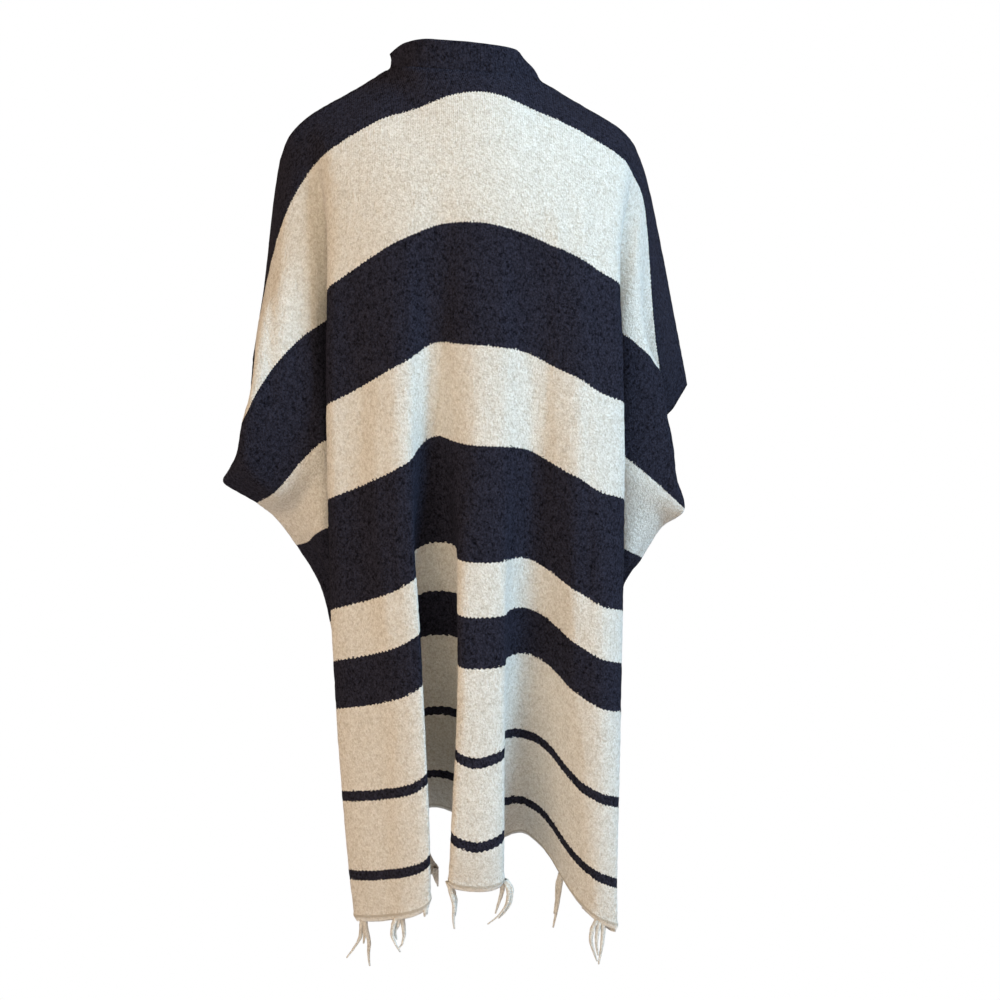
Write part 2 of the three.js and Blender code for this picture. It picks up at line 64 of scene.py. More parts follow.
print("nodes:", len(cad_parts), "box:", [tuple(round(c, 3) for c in corner) for corner in cad_box])

# %% [markdown]
# ## Camera, floor and light
# The camera stands behind the wearer, a little to the right of the garment's middle and below the
# shoulders, and looks down at it. A long lens keeps the perspective gentle. The room is a pale floor
# under a white backdrop. Cool daylight comes from the camera's right, a weak warm lamp from low on its
# left, and a faint one from above, so a fold that turns left goes tan and one that turns right goes
# blue-white.

# %% Camera
CAMERA_PLACE = (-0.04, 1.9, -0.08)
CAMERA_TILT = math.radians(90 - 12.7)
LENS_MM, SENSOR_MM = 57.6, 36

lens = bpy.data.cameras.new("camera")
lens.lens, lens.sensor_width = LENS_MM, SENSOR_MM
camera = bpy.data.objects.new("camera", lens)
camera.location = CAMERA_PLACE
camera.rotation_euler = (CAMERA_TILT, 0, math.pi)
bpy.context.collection.objects.link(camera)
bpy.context.scene.camera = camera
bpy.context.scene.view_settings.view_transform = "Standard"
print("camera at", CAMERA_PLACE)

# %% Floor
FLOOR_DROP = 0.35
ROOM_HALF = 8.0
PAPER_GREY = 0.6

floor_level = cad_box[0][2] - FLOOR_DROP
floor_mesh = bpy.data.meshes.new("floor")
shape = bmesh.new()
bmesh.ops.create_grid(shape, x_segments=2, y_segments=2, size=ROOM_HALF)
bmesh.ops.translate(shape, verts=shape.verts, vec=(0, 0, floor_level))
shape.to_mesh(floor_mesh)
shape.free()
floor = bpy.data.objects.new("floor", floor_mesh)
bpy.context.collection.objects.link(floor)

paper = bpy.data.materials.new("white paper")
paper.use_nodes = True
nodes, links = paper.node_tree.nodes, paper.node_tree.links
sheet_shader = nodes["Principled BSDF"]
sheet_shader.inputs["Base Color"].default_value = (PAPER_GREY, PAPER_GREY, PAPER_GREY, 1)
sheet_shader.inputs["Roughness"].default_value = 0.95
glow = nodes.new("ShaderNodeEmission")
glow.inputs["Strength"].default_value = 1.0
seen = nodes.new("ShaderNodeLightPath")
mixed = nodes.new("ShaderNodeMixShader")
links.new(seen.outputs["Is Camera Ray"], mixed.inputs[0])
links.new(sheet_shader.outputs[0], mixed.inputs[1])
links.new(glow.outputs[0], mixed.inputs[2])
links.new(mixed.outputs[0], nodes["Material Output"].inputs["Surface"])
floor.data.materials.append(paper)
print("floor at", round(floor_level, 3))

# %% Lights
LAMP_AIM = (0, 0, -0.45)
ROOM_COLOUR, ROOM_STRENGTH = (1.0, 0.69, 0.51, 1), 0.50
LIGHTS = [
    # name, place, size, watts, colour
    ("daylight", (-2.0, 1.45, 1.27), 1.0, 94, (0.45, 0.765, 1.0)),
    ("low lamp", (1.5, 2.6, -0.45), 1.6, 27, (1.0, 0.77, 0.53)),
    ("high lamp", (0.0, 2.46, 1.27), 1.6, 14, (1.0, 0.95, 0.65)),
]


def area_light(name, place, size, watts, colour):
    light = bpy.data.lights.new(name, "AREA")
    light.size, light.energy, light.color = size, watts, colour
    lamp = bpy.data.objects.new(name, light)
    lamp.location = place
    lamp.rotation_euler = (Vector(LAMP_AIM) - Vector(place)).to_track_quat("-Z", "Y").to_euler()
    bpy.context.collection.objects.link(lamp)


for row in LIGHTS:
    area_light(*row)

world = bpy.data.worlds.new("room")
world.use_nodes = True
bpy.context.scene.world = world
nodes, links = world.node_tree.nodes, world.node_tree.links
nodes.clear()
room = nodes.new("ShaderNodeBackground")
room.inputs["Color"].default_value = ROOM_COLOUR
room.inputs["Strength"].default_value = ROOM_STRENGTH
backdrop = nodes.new("ShaderNodeBackground")
backdrop.inputs["Color"].default_value = (1, 1, 1, 1)
backdrop.inputs["Strength"].default_value = 1.0
path = nodes.new("ShaderNodeLightPath")
either = nodes.new("ShaderNodeMixShader")
output = nodes.new("ShaderNodeOutputWorld")
links.new(path.outputs["Is Camera Ray"], either.inputs[0])
links.new(room.outputs[0], either.inputs[1])
links.new(backdrop.outputs[0], either.inputs[2])
links.new(either.outputs[0], output.inputs["Surface"])
print("lights:", [row[0] for row in LIGHTS])

# %% [markdown]
# ## How the cloth lies
# On the real garment every panel is a flat rectangle, and gravity and the shoulders fold it. Simulated
# cloth would find folds of its own, so these are placed one by one instead. A panel is described by fold
# lines: each keeps its place across the cloth and runs down it, along a ridge or a trough. "Across" is
# measured from the middle, + to the wearer's left, and "down" from the shoulder seam along the cloth.
# The tables are in millimetres, as a pattern cutter would measure.

# %% Sizes of the cut
MM = 0.001
BACK_LENGTH, FRONT_LENGTH = 1000, 1090
PANEL_EDGE = 500
ARMHOLE_BACK, ARMHOLE_FRONT = 410, 500
FRONT_LONGER = FRONT_LENGTH - BACK_LENGTH
NECK_MIDDLE, NECK_HALF = 2, 83
NECK_BACK, NECK_FRONT = 68, 80
NECK_CUT_BACK, NECK_CUT_FRONT = 48, 70
NECK_LEVEL, NECK_TILT, NECK_DIP_BACK, NECK_DIP_FRONT = -3, 5, 5, 45
CHEST = 230
GIVE_OVER = 600
LEAST_FALL, CURVE_STEPS = 0.2, 401
PLAN_REACH, HEIGHT_REACH = 3.0, 9.0
SOFT_INSET, SOFT_FADE = 10, 40
YOKE_REACH, YOKE_DOWN, YOKE_FADE = 13.0, 300, 120
PLEAT_MIDDLE, PLEAT_HALF, PLEAT_FADE = -6, 27, 8
STRIPE_DIP, DIP_SHARPNESS = 9, 1.3
DIP_FROM, DIP_FADE_IN, DIP_TO, DIP_FADE_OUT = 760, 80, 985, 25
SEAM_EASE = 150

# %% Folds of the back
BACK_DOWN = [472, 723, 931, 1000]
BLADE = 70
BACK_FOLDS = [
    # name, across, give, then the points on the shoulder, the blade and the chest,
    # then x, y at each of BACK_DOWN
    (
        "right fold", -167, 4, (-176, 0, -68), (-178, 58, -101), (-177, 95, -240),
        (-182, 108), (-181, 122), (-179, 132), (-181, 130),
    ),
    (
        "right panel outer", -140, 8, (-148, 0, -50), (-147, 65, -82), (-150, 112, -224),
        (-152, 138), (-156, 148), (-158, 140), (-159, 134),
    ),
    (
        "right panel middle", -114, 12, (-122, 0, -37), (-122, 70, -68), (-124, 122, -204),
        (-128, 145), (-128, 137), (-131, 122), (-132, 110),
    ),
    (
        "right panel inner", -89, -2, (-93, 0, -20), (-94, 74, -55), (-99, 128, -195),
        (-100, 134), (-103, 114), (-106, 86), (-107, 66),
    ),
    (
        "right neck corner", -83, -4, (-81, 0, -8), (-88, 75, -52), (-93, 129, -191),
        (-93, 128), (-97, 109), (-100, 77), (-101, 55),
    ),
    (
        "right hollow", -68, -3, None, (-72, 79, -44), (-78, 131, -183),
        (-78, 125), (-81, 103), (-83, 60), (-84, 34),
    ),
    (
        "right hollow foot", -46, 1, None, (-50, 84, -37), (-56, 135, -176),
        (-62, 134), (-62, 106), (-58, 55), (-59, 23),
    ),
    (
        "pleat, right tuck", -38, 1, None, (-42, 85, -34), (-48, 137, -173),
        (-54, 140), (-44, 132), (-26, 92), (-24, 70),
    ),
    (
        "pleat, right edge", -30, 2, None, (-36, 85, -30), (-40, 139, -171),
        (-44, 148), (-46, 158), (-46, 156), (-46, 148),
    ),
    (
        "pleat, crest", -8, 10, None, (-16, 86, -29), (-18, 139, -167),
        (-20, 151), (-13, 172), (-15, 178), (-15, 166),
    ),
    (
        "pleat, left edge", 18, 5, None, (9, 85, -31), (8, 134, -167),
        (8, 136), (8, 164), (18, 171), (22, 160),
    ),
    (
        "pleat, left tuck", 26, 2, None, (16, 85, -33), (15, 131, -168),
        (18, 123), (-6, 112), (-12, 70), (-10, 45),
    ),
    (
        "valley, right side", 34, -9, None, (23, 84, -36), (22, 129, -169),
        (26, 112), (14, 80), (22, 18), (24, -10),
    ),
    (
        "valley, left side", 50, -9, None, (37, 82, -43), (36, 128, -172),
        (42, 110), (54, 78), (60, 14), (62, -14),
    ),
    (
        "left panel tuck", 62, -3, None, (48, 79, -46), (48, 130, -178),
        (53, 124), (78, 110), (90, 80), (92, 60),
    ),
    (
        "left panel ridge", 74, 15, None, (60, 76, -49), (62, 131, -184),
        (61, 145), (47, 162), (41, 160), (41, 150),
    ),
    (
        "left neck corner", 83, 22, (85, 0, 2), (71, 74, -51), (72, 129, -187),
        (71, 147), (56, 163), (48, 160), (48, 151),
    ),
    (
        "left panel inner", 98, 20, (98, 0, -9), (88, 72, -56), (88, 123, -198),
        (87, 140), (72, 158), (66, 154), (66, 147),
    ),
    (
        "left panel middle", 125, 13, (122, 0, -23), (116, 67, -71), (118, 109, -218),
        (118, 119), (104, 138), (98, 136), (96, 130),
    ),
    (
        "left fold", 167, -2, (160, 0, -43), (154, 59, -95), (157, 84, -250),
        (160, 88), (154, 98), (143, 97), (137, 95),
    ),
]
print("back folds:", len(BACK_FOLDS))

# %% Folds of the fronts
FRONT_DOWN = [472, 723, 1055, 1090]
BREAST = 100
LEFT_FRONT_FOLDS = [
    # name, across, give, then the points on the shoulder, the breast and the chest,
    # then x, y at each of FRONT_DOWN
    (
        "edge", 50, 4, None, (51, -88, -65), (46, -130, -188),
        (46, -142), (52, -141), (57, -134), (42, -124),
    ),
    (
        "edge roll", 62, 34, None, (62, -84, -62), (56, -133, -182),
        (56, -151), (62, -152), (67, -145), (53, -136),
    ),
    (
        "neck corner", 83, 40, (85, 0, 2), (80, -74, -58), (76, -134, -173),
        (72, -144), (76, -142), (80, -134), (70, -126),
    ),
    (
        "ridge", 112, 26, (112, 0, -17), (106, -74, -77), (102, -136, -188),
        (92, -154), (92, -164), (96, -160), (92, -156),
    ),
    (
        "trough", 140, 16, (136, 0, -30), (132, -70, -93), (128, -124, -205),
        (114, -122), (112, -116), (112, -110), (110, -108),
    ),
    (
        "outer fold", 167, 0, (160, 0, -43), (157, -68, -112), (156, -122, -228),
        (142, -138), (136, -146), (130, -146), (128, -142),
    ),
]
RIGHT_FRONT_FOLDS = [
    # the same columns
    (
        "edge", -50, 0, None, (-47, -88, -71), (-50, -130, -190),
        (-66, -140), (-86, -142), (-118, -134), (-126, -130),
    ),
    (
        "edge roll", -62, 0, None, (-58, -84, -68), (-60, -133, -184),
        (-78, -150), (-96, -152), (-127, -145), (-134, -142),
    ),
    (
        "neck corner", -83, 0, (-81, 0, -8), (-77, -74, -68), (-80, -134, -180),
        (-96, -142), (-112, -138), (-138, -126), (-142, -122),
    ),
    (
        "ridge", -112, 0, (-120, 0, -36), (-110, -73, -93), (-108, -136, -200),
        (-118, -154), (-132, -162), (-152, -158), (-154, -156),
    ),
    (
        "trough", -140, 0, (-148, 0, -50), (-142, -68, -111), (-138, -124, -225),
        (-140, -120), (-146, -114), (-154, -108), (-158, -106),
    ),
    (
        "outer fold", -167, -25, (-176, 0, -68), (-174, -66, -138), (-170, -120, -252),
        (-168, -138), (-168, -144), (-170, -142), (-172, -138),
    ),
]

# %% Sections of the sleeves and sides
SIDE_ACROSS = {"pleat": 225, "inner": 290, "outer": 400, "edge": PANEL_EDGE}
LEFT_BACK_SIDE = [
    # down, then where the pleat beside the body, the inner swell, the outer swell and the edge pass
    (0, (184, -2, -57), (209, -6, -84), (250, -82, -262), (270, -105, -350)),
    (70, (172, 40, -110), (203, 40, -160), (241, 12, -281), (264, -44, -387)),
    (150, (156, 42, -181), (187, 62, -218), (241, 74, -326), (237, 12, -428)),
    (230, (136, 28, -266), (181, 76, -295), (244, 93, -374), (268, 34, -458)),
    (310, (128, 16, -345), (173, 80, -365), (242, 88, -430), (288, 40, -476)),
    (362, (124, 10, -400), (169, 74, -424), (223, 64, -482), (253, 16, -507)),
    (410, (122, 4, -455), (167, 58, -470), (208, 18, -520), (234, -8, -532)),
    (472, (120, 0, -520), (168, 50, -531), (194, 8, -558), (211, -20, -569)),
    (560, (116, 10, -608), (148, 28, -610), (168, -14, -626), (181, -35, -636)),
    (723, (110, 38, -760), (126, 10, -768), (146, -22, -782), (158, -42, -795)),
    (1000, (98, 42, -1035), (110, 12, -1045), (130, -22, -1060), (142, -42, -1070)),
]
RIGHT_BACK_SIDE = [
    # the same columns
    (0, (-190, -3, -80), (-205, -8, -108), (-248, -68, -270), (-275, -100, -382)),
    (70, (-190, 46, -120), (-203, 34, -146), (-223, 2, -306), (-248, -78, -416)),
    (150, (-176, 56, -195), (-198, 52, -216), (-208, 0, -338), (-205, -40, -432)),
    (230, (-150, 30, -272), (-187, 60, -301), (-229, 30, -356), (-222, 0, -448)),
    (310, (-144, 18, -350), (-187, 61, -380), (-237, 38, -420), (-250, 18, -480)),
    (362, (-143, 14, -412), (-187, 60, -443), (-238, 36, -490), (-262, 20, -514)),
    (410, (-142, 6, -465), (-189, 48, -495), (-226, 24, -522), (-237, 0, -541)),
    (472, (-140, 0, -535), (-191, 32, -561), (-208, 8, -575), (-214, -8, -582)),
    (560, (-138, 8, -618), (-166, 20, -618), (-182, -12, -626), (-190, -24, -630)),
    (723, (-134, 35, -765), (-149, 10, -770), (-168, -22, -785), (-178, -42, -795)),
    (1000, (-150, 42, -1030), (-160, 12, -1042), (-170, -22, -1058), (-178, -42, -1070)),
]
LEFT_FRONT_SIDE = [
    # the same columns. Below the armhole the edge is sewn to the back's, so those rows leave it out
    (0, (184, -2, -57), (209, -6, -84), (250, -82, -262), (270, -105, -350)),
    (70, (182, -44, -106), (202, -52, -118), (245, -108, -272), (264, -136, -358)),
    (150, (176, -80, -172), (196, -92, -178), (240, -134, -300), (250, -154, -378)),
    (230, (160, -88, -248), (184, -118, -250), (230, -146, -340), (238, -160, -410)),
    (320, (148, -84, -335), (176, -130, -336), (220, -150, -398), (228, -154, -452)),
    (410, (140, -76, -424), (170, -130, -426), (212, -138, -462), (226, -122, -496)),
    (500, (136, -70, -514), (164, -124, -512), (204, -108, -530), (234, -8, -532)),
    (562, (132, -66, -575), (156, -116, -572), (192, -90, -580)),
    (650, (124, -64, -660), (144, -108, -652), (168, -78, -652)),
    (813, (114, -66, -812), (126, -112, -808), (148, -64, -800)),
    (1090, (106, -70, -1084), (116, -112, -1078), (134, -64, -1070)),
]
RIGHT_FRONT_SIDE = [
    # the same columns, and the same edge
    (0, (-190, -3, -80), (-205, -8, -108), (-248, -68, -270), (-275, -100, -382)),
    (70, (-196, -40, -128), (-210, -48, -138), (-252, -98, -284), (-270, -130, -392)),
    (150, (-194, -76, -192), (-204, -88, -200), (-246, -126, -316), (-258, -150, -410)),
    (230, (-180, -86, -268), (-196, -114, -270), (-238, -138, -358), (-248, -156, -440)),
    (320, (-170, -84, -352), (-192, -126, -356), (-230, -142, -416), (-240, -148, -480)),
    (410, (-164, -76, -440), (-186, -128, -444), (-222, -130, -480), (-236, -116, -520)),
    (500, (-160, -70, -528), (-180, -120, -530), (-212, -102, -550), (-237, 0, -541)),
    (562, (-156, -66, -590), (-174, -112, -588), (-202, -84, -596)),
    (650, (-150, -64, -674), (-166, -104, -668), (-184, -74, -664)),
    (813, (-144, -64, -826), (-156, -108, -822), (-170, -64, -808)),
    (1090, (-152, -72, -1076), (-160, -108, -1078), (-174, -64, -1072)),
]

# %% [markdown]
# ## Smooth curves through the tables
# A straight interpolation would give creases at every row, and an ordinary spline would swing past
# them. A monotone cubic does neither: its slope at a row is a mean of the slopes on both sides, or zero
# at a peak. All rows of a panel are worked out at once with numpy.


# %% Curves
def smooth_curve(knots, values):
    knots, values = np.asarray(knots, float), np.asarray(values, float)
    width = np.diff(knots)
    rate = np.diff(values, axis=0) / width.reshape(-1, *[1] * (values.ndim - 1))
    slopes = np.zeros_like(values)
    slopes[0], slopes[-1] = rate[0], rate[-1]
    for k in range(1, len(knots) - 1):
        before, after = 2 * width[k] + width[k - 1], width[k] + 2 * width[k - 1]
        a, b = rate[k - 1], rate[k]
        with np.errstate(divide="ignore", invalid="ignore"):
            mean = (before + after) / (before / a + after / b)
        slopes[k] = np.where(a * b > 0, mean, 0)

    def at(places):
        places = np.atleast_1d(np.asarray(places, float))
        k = np.clip(np.searchsorted(knots, places) - 1, 0, len(knots) - 2)
        across = (-1, *[1] * (values.ndim - 1))
        t = ((places - knots[k]) / width[k]).reshape(across)
        w = width[k].reshape(across)
        start = values[k] * (1 + 2 * t) * (1 - t) ** 2 + slopes[k] * w * t * (1 - t) ** 2
        return start + values[k + 1] * t * t * (3 - 2 * t) + slopes[k + 1] * w * t * t * (t - 1)

    return at


# %% Lines
def neck_depth(across):
    return math.sqrt(max(0.0, 1 - (across / NECK_HALF) ** 2))


def neck_point(across, facing):
    depth = neck_depth(across)
    level = NECK_LEVEL + across / NECK_HALF * NECK_TILT
    if facing > 0:
        return (NECK_MIDDLE + across, NECK_BACK * depth, level - NECK_DIP_BACK * depth)
    return (NECK_MIDDLE + across, -NECK_FRONT * depth, level - NECK_DIP_FRONT * depth**2)


def hanging_line(row, facing):
    _, across, give, shoulder, upper, chest, *lower = row
    upper_down, lower_down = (BLADE, BACK_DOWN) if facing > 0 else (BREAST, FRONT_DOWN)
    cut = NECK_CUT_BACK if facing > 0 else NECK_CUT_FRONT
    start = 0 if shoulder else cut * neck_depth(across)
    top = shoulder or neck_point(across, facing)
    in_plan = [point[:2] for point in (top, upper, chest, *lower)]
    plan = smooth_curve([start, upper_down, CHEST, *lower_down], in_plan)
    height = smooth_curve([start, upper_down, CHEST], [top[2], upper[2], chest[2]])
    steps = np.linspace(CHEST, lower_down[-1], CURVE_STEPS)
    run = (np.diff(plan(steps), axis=0) ** 2).sum(1)
    length = np.diff(steps)
    fall = np.sqrt(np.maximum(length**2 - run, (LEAST_FALL * length) ** 2))
    drop = np.concatenate([[0], np.cumsum(fall)])

    def place(down):
        slack = give * np.clip((down - CHEST) / GIVE_OVER, 0, 1)
        hung = chest[2] - np.interp(down, steps, drop) - slack
        level = np.where(down <= CHEST, height(np.minimum(down, CHEST)), hung)
        return np.column_stack([plan(down), level])

    return across, start, place


def side_lines(sections, sign):
    lines = []
    for column, across in enumerate(SIDE_ACROSS.values(), start=1):
        rows = [row for row in sections if len(row) > column]
        run = smooth_curve([row[0] for row in rows], [row[column] for row in rows])
        lines.append((sign * across, 0, run))
    return lines


def front_lines(folds, sections, sign, back_edge):
    sides = side_lines(sections, sign)
    across, start, open_edge = sides[-1]

    def edge(down):
        sewn = back_edge(np.maximum(down - FRONT_LONGER, 0))
        return np.where((down < ARMHOLE_FRONT)[:, None], open_edge(np.minimum(down, ARMHOLE_FRONT)), sewn)

    sides[-1] = (across, start, edge)
    return sorted([*(hanging_line(row, -1) for row in folds), *sides], key=lambda line: line[0])


left_side, right_side = side_lines(LEFT_BACK_SIDE, 1), side_lines(RIGHT_BACK_SIDE, -1)
back_hanging = [hanging_line(row, 1) for row in BACK_FOLDS]
back_lines = sorted([*right_side, *back_hanging, *left_side], key=lambda line: line[0])
left_front_lines = front_lines(LEFT_FRONT_FOLDS, LEFT_FRONT_SIDE, 1, left_side[-1][2])
right_front_lines = front_lines(RIGHT_FRONT_FOLDS, RIGHT_FRONT_SIDE, -1, right_side[-1][2])
print("lines:", len(back_lines), len(left_front_lines), len(right_front_lines))


# %% Panels
def drape(lines, length, columns, rows):
    """The points of a panel, [row, column, xyz] in mm, and how far down the cloth each one is."""
    across = [line[0] for line in lines]
    starts = smooth_curve(across, [line[1] for line in lines])(columns)
    part = rows / length
    points = np.array([place(start + (length - start) * part) for _, start, place in lines])
    joined = smooth_curve(across, points.reshape(len(lines), -1))(columns)
    grid = joined.reshape(len(columns), len(rows), 3).transpose(1, 0, 2)
    return grid, starts[None, :] * (1 - part[:, None]) + rows[:, None]


def stripe_dip(columns, down):
    """How much later the knitting runs beside the middle of the centre pleat, so its stripes dip in a V."""
    off = np.abs(columns - PLEAT_MIDDLE)
    past = np.clip(off - PLEAT_HALF, 0, None)
    share = np.clip(off / PLEAT_HALF, 0, 1) ** DIP_SHARPNESS * np.exp(-0.5 * (past / PLEAT_FADE) ** 2)
    lower = np.clip((down - DIP_FROM) / DIP_FADE_IN, 0, 1) * np.clip((DIP_TO - down) / DIP_FADE_OUT, 0, 1)
    return STRIPE_DIP * share[None, :] * lower


def averaged(values, columns, reach):
    """Each row's values, averaged over the columns beside them."""
    apart = columns[:, None] - columns[None, :]
    share = np.exp(-0.5 * (apart / reach) ** 2) * np.gradient(columns)[None, :]
    return np.einsum("ij,rjk->rik", share / share.sum(1)[:, None], values)


def softened(grid, columns, down):
    """The knit rounds every turn: each row is averaged sideways, and the yoke over a wider stretch."""
    inner = np.clip((PANEL_EDGE - SOFT_INSET - np.abs(columns)) / SOFT_FADE, 0, 1)[None, :, None]
    out = np.concatenate([grid, down[..., None]], axis=2)
    for reach, axes in [(PLAN_REACH, slice(0, 2)), (HEIGHT_REACH, slice(2, 4))]:
        out[..., axes] += inner * (averaged(out[..., axes], columns, reach) - out[..., axes])
    yoke = np.clip((YOKE_DOWN - down) / YOKE_FADE, 0, 1)[..., None] * inner
    out += yoke * (averaged(out, columns, YOKE_REACH) - out)
    out[..., 3] += stripe_dip(columns, out[..., 3])
    return out[..., :3], out[..., 3]


def drape_front(lines, columns, rows):
    """A front, eased near the shoulder so that its seam is the back's."""
    grid, down = drape(lines, FRONT_LENGTH, columns, rows)
    seam = np.column_stack([np.interp(columns, back_columns, back_grid[0][:, axis]) for axis in range(3)])
    fade = np.maximum(0, 1 - down / SEAM_EASE) ** 2 * (np.abs(columns) >= NECK_HALF)[None, :]
    return grid + fade[..., None] * (seam - grid[0])[None], down


def spaced(stops, step_of):
    """Columns from stop to stop, each stretch cut into equal steps no wider than it allows."""
    out = [stops[0]]
    for a, b in zip(stops[:-1], stops[1:]):
        count = math.ceil((b - a) / step_of(0.5 * (a + b)))
        out.extend(a + (b - a) * (i + 1) / count for i in range(count))
    return np.array(out, float)


# %% [markdown]
# ## From points to cloth
# Each panel starts as a flat grid. Its vertices are moved to the draped points, a UV map keeps the two
# cloth measures in metres, and a Solidify modifier gives the knit its thickness. The yarn's lumps are
# far smaller than a mesh this size can hold, so the mesh only carries their slow unevenness.

# %% Cloth from a grid
CLOTH = 0.003
LUMP, LUMP_SIZE, SMALL_LUMP_SIZE, SMALL_LUMP_SHARE = 0.0005, 0.009, 0.004, 0.6


def uneven(point, size):
    return noise.noise(Vector(point) / size)


def cloth_piece(name, points, across, down, facing):
    """points in metres as [row, column, xyz]. across and down fill the UV map, in metres."""
    rows, columns = points.shape[:2]
    shape = bmesh.new()
    bmesh.ops.create_grid(shape, x_segments=columns - 1, y_segments=rows - 1, size=1)
    shape.verts.ensure_lookup_table()
    flat = points.reshape(-1, 3)
    for vertex in shape.verts:
        vertex.co = flat[vertex.index]
    if facing < 0:
        bmesh.ops.reverse_faces(shape, faces=shape.faces)
    shape.normal_update()
    lumps = [
        uneven(v.co, LUMP_SIZE) + SMALL_LUMP_SHARE * uneven(v.co, SMALL_LUMP_SIZE) for v in shape.verts
    ]
    for vertex, lump, normal in zip(shape.verts, lumps, [v.normal.copy() for v in shape.verts]):
        vertex.co += normal * lump * LUMP
    across, down = across.reshape(-1), down.reshape(-1)
    layer = shape.loops.layers.uv.new("cloth")
    for face in shape.faces:
        face.smooth = True
        for loop in face.loops:
            loop[layer].uv = (across[loop.vert.index], down[loop.vert.index])
    mesh = bpy.data.meshes.new(name)
    shape.to_mesh(mesh)
    shape.free()
    piece = bpy.data.objects.new(name, mesh)
    bpy.context.collection.objects.link(piece)
    wall = piece.modifiers.new("knit thickness", "SOLIDIFY")
    wall.thickness, wall.offset = CLOTH, 0
    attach(piece, "root")
    return piece


# %% [markdown]
# ## Creases, the neck's curve and the rolled hem
# Smaller creases lie on the big folds. Each is a soft ridge (height above zero) or trough (below zero)
# that runs down the cloth, fades in and out, and has its own width. Those of the back are placed where
# they lie, and the sides and fronts get similar ones. Near the neck the cloth curves up into the collar,
# and the last few millimetres at a hem curl outwards.

# %% Creases
BACK_CREASES = [
    # name, across at the top, across at the bottom, down from, down to, half width, height
    ("lobe ridge", 171, 169, 200, 620, 8, 2.6),
    ("lobe hollow", 151, 148, 170, 600, 9, -3.2),
    ("lobe swell", 122, 120, 300, 700, 9, 1.6),
    ("short dent below the blade", -92, -96, 175, 262, 7, -2.2),
    ("right blade pull", -128, -112, 130, 330, 10, -1.2),
    ("right panel crease", -124, -128, 300, 640, 7, 1.6),
    ("right panel hollow", -110, -112, 420, 800, 8, -1.8),
    ("left panel crease", 112, 108, 380, 700, 7, -1.6),
    ("low left crease", 118, 122, 700, 980, 8, 1.5),
    ("low right crease", -122, -126, 720, 960, 8, -1.6),
    ("crest dent", 4, 2, 560, 860, 6, -1.3),
    ("left sleeve, first", 205, 240, 60, 260, 9, 2.4),
    ("left sleeve, second", 262, 300, 90, 330, 12, -3.0),
    ("left sleeve, third", 340, 360, 60, 300, 14, 3.0),
    ("left sleeve, cuff", 440, 425, 120, 380, 16, -3.0),
    ("right sleeve, first", -208, -240, 70, 280, 9, 2.2),
    ("right sleeve, second", -268, -300, 80, 340, 12, -2.8),
    ("right sleeve, third", -345, -370, 90, 320, 14, 2.6),
    ("right sleeve, cuff", -450, -430, 150, 380, 16, -2.6),
    ("left side, inner", 255, 250, 420, 980, 14, 5),
    ("left side, middle", 330, 325, 440, 1000, 16, -6),
    ("left side, outer", 385, 380, 430, 990, 15, 5),
    ("left side, seam", 450, 452, 450, 1000, 16, -6),
    ("right side, inner", -255, -250, 430, 990, 14, 5),
    ("right side, middle", -328, -322, 430, 1000, 16, -6),
    ("right side, outer", -388, -380, 440, 980, 15, 5),
    ("right side, seam", -450, -455, 440, 1000, 16, -6),
]
FRONT_CREASES = [
    # the right front takes each of these too, a little lower and flatter
    ("edge, first", 66, 70, 260, 700, 7, -2.0),
    ("edge, second", 76, 74, 640, 1080, 8, 2.4),
    ("breast pull", 96, 90, 90, 330, 9, -2.2),
    ("ridge crease", 124, 122, 330, 800, 8, 3.0),
    ("ridge hollow", 104, 102, 560, 1090, 8, -3.2),
    ("outer crease", 152, 150, 240, 640, 8, -3.0),
    ("outer ridge", 182, 180, 520, 1090, 12, 6),
    ("side, first", 206, 204, 540, 1090, 11, -6.5),
    ("side, second", 246, 244, 500, 1090, 13, 7),
    ("side, third", 272, 270, 540, 1090, 12, -7),
    ("side, fourth", 318, 316, 500, 1090, 15, 7.5),
    ("side, fifth", 352, 350, 520, 1090, 14, -7.5),
    ("side, sixth", 386, 384, 500, 1090, 14, 7.5),
    ("side, seventh", 428, 426, 520, 1090, 14, -7.5),
    ("side, eighth", 462, 460, 540, 1090, 13, 6),
    ("sleeve, first", 250, 262, 70, 430, 15, 4.0),
    ("sleeve, second", 330, 340, 80, 460, 17, -5.0),
    ("sleeve, third", 392, 398, 100, 440, 15, 4.5),
    ("sleeve, cuff", 450, 455, 90, 470, 15, -4.0),
]
HEM_CURL = [
    # height, above the hem, half width
    (2.2, 0, 3.5),
    (-1.0, 9, 3.0),
]
CREASE_FADE, EDGE_FADE, HEM_REACH = 3.5, 25, 20


def outward(grid, facing):
    across, along = np.gradient(grid, axis=1), np.gradient(grid, axis=0)
    normal = np.cross(along, across) * facing
    return normal / np.linalg.norm(normal, axis=2)[..., None]


def creased(grid, columns, down, length, creases, facing):
    push = np.zeros(down.shape)
    for _, top, bottom, first, last, width, height in creases:
        part = np.clip((down - first) / (last - first), 0, 1)
        line = top + (bottom - top) * part
        ending = np.clip(CREASE_FADE * (1 - part), 0, 1)
        fade = np.clip(CREASE_FADE * part, 0, 1) * np.where(last >= length - HEM_REACH, 1, ending)
        fade = fade * fade * (3 - 2 * fade)
        push += height * fade * np.exp(-(((columns[None, :] - line) / width) ** 2))
    push *= np.clip((PANEL_EDGE - np.abs(columns)) / EDGE_FADE, 0, 1)[None, :]
    for height, above, width in HEM_CURL:
        push += height * np.exp(-(((length - down - above) / width) ** 2))
    return grid + push[..., None] * outward(grid, facing)


# %% Neck curve
NECK_LIFT, NECK_LIFT_REACH = 2.5, 9


